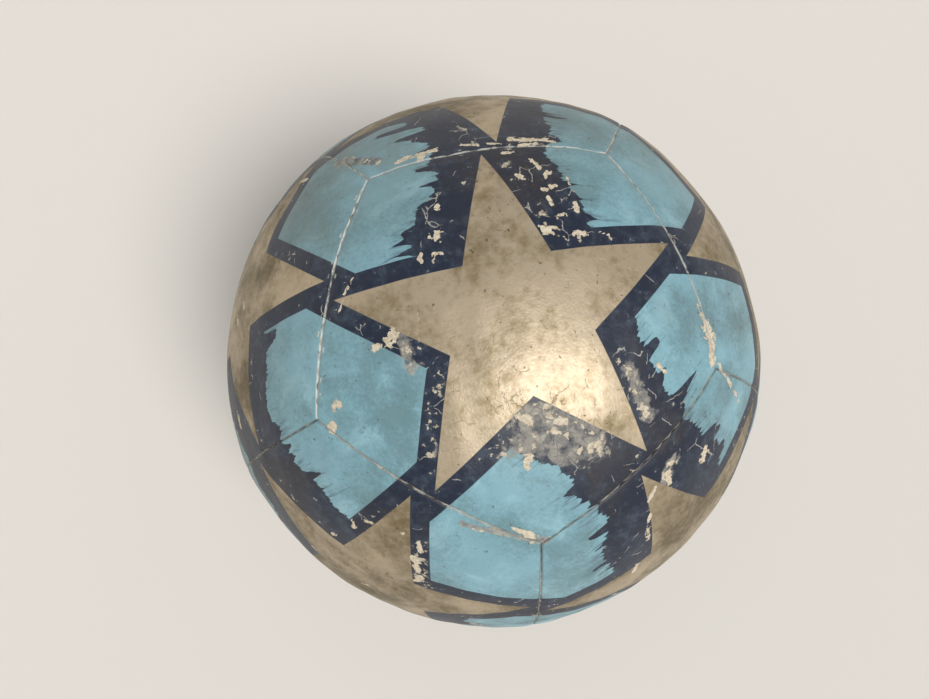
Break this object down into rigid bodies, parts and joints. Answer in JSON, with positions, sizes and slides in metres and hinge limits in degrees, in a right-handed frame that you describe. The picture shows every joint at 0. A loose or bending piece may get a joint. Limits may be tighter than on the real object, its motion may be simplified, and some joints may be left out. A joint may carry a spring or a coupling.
{
  "type": "soccer ball",
  "caption": "Stitched football of pentagonal cushioned panels over an inflatable rubber bladder, with a push-in needle valve and printed stars.",
  "frame": {"origin": "centre of the ball", "axes": "+Z through the middle of the top panel; the valve is in the lower panel that faces -Y"},
  "size_m": [0.219, 0.2186, 0.2168],
  "materials": {
    "printed_cover": "printed synthetic leather, satin, worn",
    "foam_backing": "closed-cell foam, matt",
    "woven_lining": "woven polyester-cotton",
    "bladder_rubber": "smooth butyl rubber",
    "valve_rubber": "moulded rubber, matt",
    "valve_plug": "moulded rubber, satin",
    "seam_thread": "waxed polyester thread"
  },
  "bodies": {
    "ball": {"cover_top": "printed_cover", "foam_top": "foam_backing", "lining_top": "woven_lining", "cover_upper_1": "printed_cover", "foam_upper_1": "foam_backing", "lining_upper_1": "woven_lining", "cover_upper_2": "printed_cover", "foam_upper_2": "foam_backing", "lining_upper_2": "woven_lining", "cover_upper_3": "printed_cover", "foam_upper_3": "foam_backing", "lining_upper_3": "woven_lining", "cover_upper_4": "printed_cover", "foam_upper_4": "foam_backing", "lining_upper_4": "woven_lining", "cover_upper_5": "printed_cover", "foam_upper_5": "foam_backing", "lining_upper_5": "woven_lining", "cover_lower_1": "printed_cover", "foam_lower_1": "foam_backing", "lining_lower_1": "woven_lining", "cover_lower_2": "printed_cover", "foam_lower_2": "foam_backing", "lining_lower_2": "woven_lining", "cover_lower_3": "printed_cover", "foam_lower_3": "foam_backing", "lining_lower_3": "woven_lining", "cover_lower_4": "printed_cover", "foam_lower_4": "foam_backing", "lining_lower_4": "woven_lining", "cover_lower_5": "printed_cover", "foam_lower_5": "foam_backing", "lining_lower_5": "woven_lining", "cover_bottom": "printed_cover", "foam_bottom": "foam_backing", "lining_bottom": "woven_lining", "bladder": "bladder_rubber", "valve_housing": "valve_rubber", "thread_top_seams": "seam_thread", "thread_upper_seams": "seam_thread", "thread_middle_seams": "seam_thread", "thread_lower_seams": "seam_thread", "thread_bottom_seams": "seam_thread"},
    "valve_plug": {"valve_core": "valve_plug"}
  },
  "joints": [
    {"name": "valve_core_pull", "type": "slide", "parent": "ball", "child": "valve_plug", "axis": [0, -0.8944, -0.4472], "range_m": [0, 0.024]}
  ]
}
